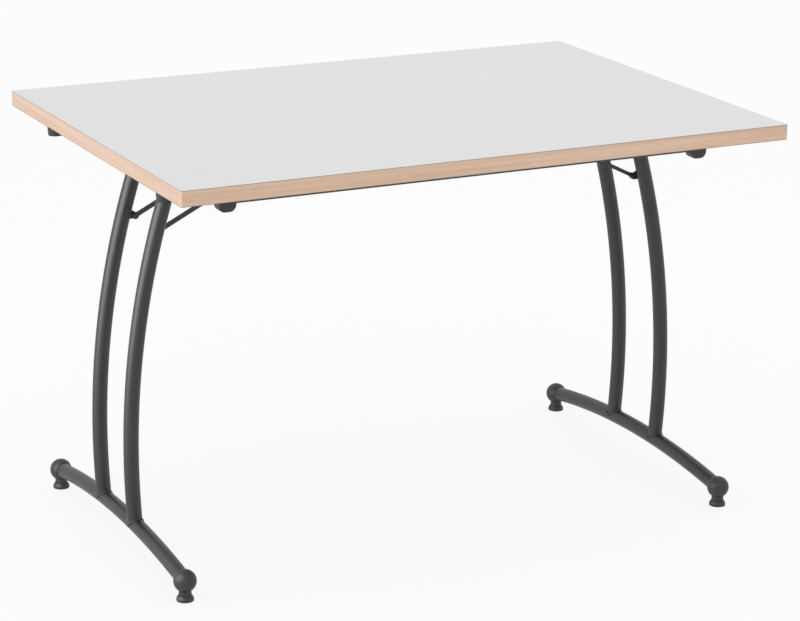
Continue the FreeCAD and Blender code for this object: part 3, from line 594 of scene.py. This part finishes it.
def screw_mesh(length):
    """Pan-head screw with its head below its seat at the origin and its threaded shank above."""
    rings = [circle(SCREW_HEAD_RADIUS * r, SCREW_HEAD_HEIGHT * h) for r, h in SCREW_HEAD_PROFILE]
    rings.append(circle(SCREW_CORE_RADIUS, 0.0))
    steps = round((length - SCREW_TIP) / SCREW_PITCH * THREAD_STEPS)
    for k in range(1, steps):
        height = (length - SCREW_TIP) * k / steps
        rings.append(thread_ring(SCREW_CORE_RADIUS, SCREW_THREAD_DEPTH, SCREW_PITCH, height))
    rings.append(circle(SCREW_CORE_RADIUS, length - SCREW_TIP))
    rings.append(circle(SCREW_CORE_RADIUS * SCREW_POINT_SHARE, length))
    shape = Shape()
    shape.add_rings(rings, False)
    screw = bpy.data.objects.new("screw_blank", shape.mesh("screw_blank"))
    cutter = bpy.data.objects.new("recess_cutter", recess_cutter().mesh("recess_cutter"))
    for part in (screw, cutter):
        bpy.context.scene.collection.objects.link(part)
    cut = screw.modifiers.new("recess", "BOOLEAN")
    cut.operation = "DIFFERENCE"
    cut.solver = "EXACT"
    cut.use_self = True
    cut.object = cutter
    bpy.context.view_layer.update()
    result = bpy.data.meshes.new_from_object(screw.evaluated_get(bpy.context.evaluated_depsgraph_get()))
    for part in (screw, cutter):
        bpy.data.objects.remove(part)
    return result


def screw_places(name):
    """Plan positions of the screws in a node: its points gathered within a head's width of each other."""
    gathered = []
    for vertex in frame["nodes"][name].data.vertices:
        flat = Vector((vertex.co.x, vertex.co.y))
        for group in gathered:
            if (group[0] - flat).length < 2.5 * SCREW_HEAD_RADIUS:
                group.append(flat)
                break
        else:
            gathered.append([flat])
    places = []
    for group in gathered:
        xs = [point.x for point in group]
        ys = [point.y for point in group]
        places.append(((min(xs) + max(xs)) / 2, (min(ys) + max(ys)) / 2))
    return places


def add_screws():
    """Screws with driver recesses in place of the plain ones."""
    for name in SCREW_GROUPS:
        low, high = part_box(name)
        seat = low.z + SCREW_HEAD_HEIGHT
        screw = screw_mesh(high.z - seat)
        shape = Shape()
        for x, y in screw_places(name):
            shape.add_mesh(screw, Vector((x, y, seat)))
        add_piece(name + "_cross_head", shape, "zinc", "top", name)


# Stage, light and camera


def white_for_looks(tree):
    """1 where a ray comes from the camera, a gloss or a glass, and 0 elsewhere."""
    path = tree.nodes.new("ShaderNodeLightPath")
    seen = maths(tree, "MAXIMUM", path.outputs["Is Camera Ray"], path.outputs["Is Glossy Ray"])
    return maths(tree, "MAXIMUM", seen, path.outputs["Is Transmission Ray"])


def add_floor():
    """Wide pale floor that is near white to the camera and keeps the table's shadow."""
    ring = [Vector((p.x, p.y, 0)) for p in circle(FLOOR_RADIUS, 0)]
    mesh = bpy.data.meshes.new("floor")
    mesh.from_pydata([point - Vector((0, 0, FLOOR_DROP)) for point in ring], [], [tuple(range(len(ring)))])
    floor = bpy.data.objects.new("floor", mesh)
    bpy.context.scene.collection.objects.link(floor)
    material = bpy.data.materials.new("floor")
    material.use_nodes = True
    tree = material.node_tree
    tree.nodes.remove(tree.nodes["Principled BSDF"])
    plain = node(tree, "BsdfDiffuse", Color=FLOOR_COLOUR)
    glow = node(tree, "Emission", Color=WHITE, Strength=1.0)
    blend = tree.nodes.new("ShaderNodeMixShader")
    tree.links.new(maths(tree, "MULTIPLY", white_for_looks(tree), FLOOR_WHITENESS), blend.inputs[0])
    tree.links.new(plain.outputs[0], blend.inputs[1])
    tree.links.new(glow.outputs[0], blend.inputs[2])
    tree.links.new(blend.outputs[0], tree.nodes["Material Output"].inputs["Surface"])
    mesh.materials.append(material)


def add_world():
    """White surroundings that light the object at a plain level."""
    world = bpy.data.worlds.new("studio")
    world.use_nodes = True
    tree = world.node_tree
    strength = spread(tree, white_for_looks(tree), AMBIENT, 1.0)
    tree.links.new(strength, tree.nodes["Background"].inputs["Strength"])
    tree.nodes["Background"].inputs["Color"].default_value = WHITE
    bpy.context.scene.world = world


def add_lamp(name, place, target, width, height, power):
    """Rectangular area lamp aimed at a point; the camera looks through it."""
    data = bpy.data.lights.new(name, "AREA")
    data.shape = "RECTANGLE"
    data.size = width
    data.size_y = height
    data.energy = power
    lamp = bpy.data.objects.new(name, data)
    lamp.location = place
    lamp.rotation_euler = (Vector(target) - Vector(place)).to_track_quat("-Z", "Y").to_euler()
    lamp.visible_camera = False
    bpy.context.scene.collection.objects.link(lamp)
    return lamp


def add_lamps():
    """Wide soft light overhead, a low softbox at the left end and a tall strip that only gloss shows."""
    add_lamp("overhead", *OVERHEAD)
    add_lamp("left_softbox", *LEFT_SOFTBOX)
    strip = add_lamp("left_strip", *LEFT_STRIP)
    strip.visible_diffuse = False


def add_camera():
    """Camera at the photograph's viewpoint."""
    data = bpy.data.cameras.new("camera")
    data.sensor_fit = "HORIZONTAL"
    data.sensor_width = SENSOR_WIDTH
    data.lens = SENSOR_WIDTH * FOCAL_PIXELS / PICTURE_WIDTH
    data.clip_end = CAMERA_REACH
    level = math.cos(CAMERA_ELEVATION)
    ahead = Vector((
        -math.sin(CAMERA_AZIMUTH) * level,
        math.cos(CAMERA_AZIMUTH) * level,
        -math.sin(CAMERA_ELEVATION),
    ))
    right = ahead.cross(Vector((0, 0, 1))).normalized()
    up = right.cross(ahead)
    rolled_right = right * math.cos(CAMERA_ROLL) + up * math.sin(CAMERA_ROLL)
    rolled_up = up * math.cos(CAMERA_ROLL) - right * math.sin(CAMERA_ROLL)
    turn = Matrix((rolled_right, rolled_up, -ahead)).transposed().to_4x4()
    camera = bpy.data.objects.new("camera", data)
    camera.matrix_world = Matrix.Translation(CAMERA_PLACE) @ turn
    bpy.context.scene.collection.objects.link(camera)
    bpy.context.scene.camera = camera


dress_solids()
add_welds()
add_stems()
add_screws()
add_floor()
add_world()
add_lamps()
add_camera()
bpy.context.scene.view_settings.view_transform = "Standard"
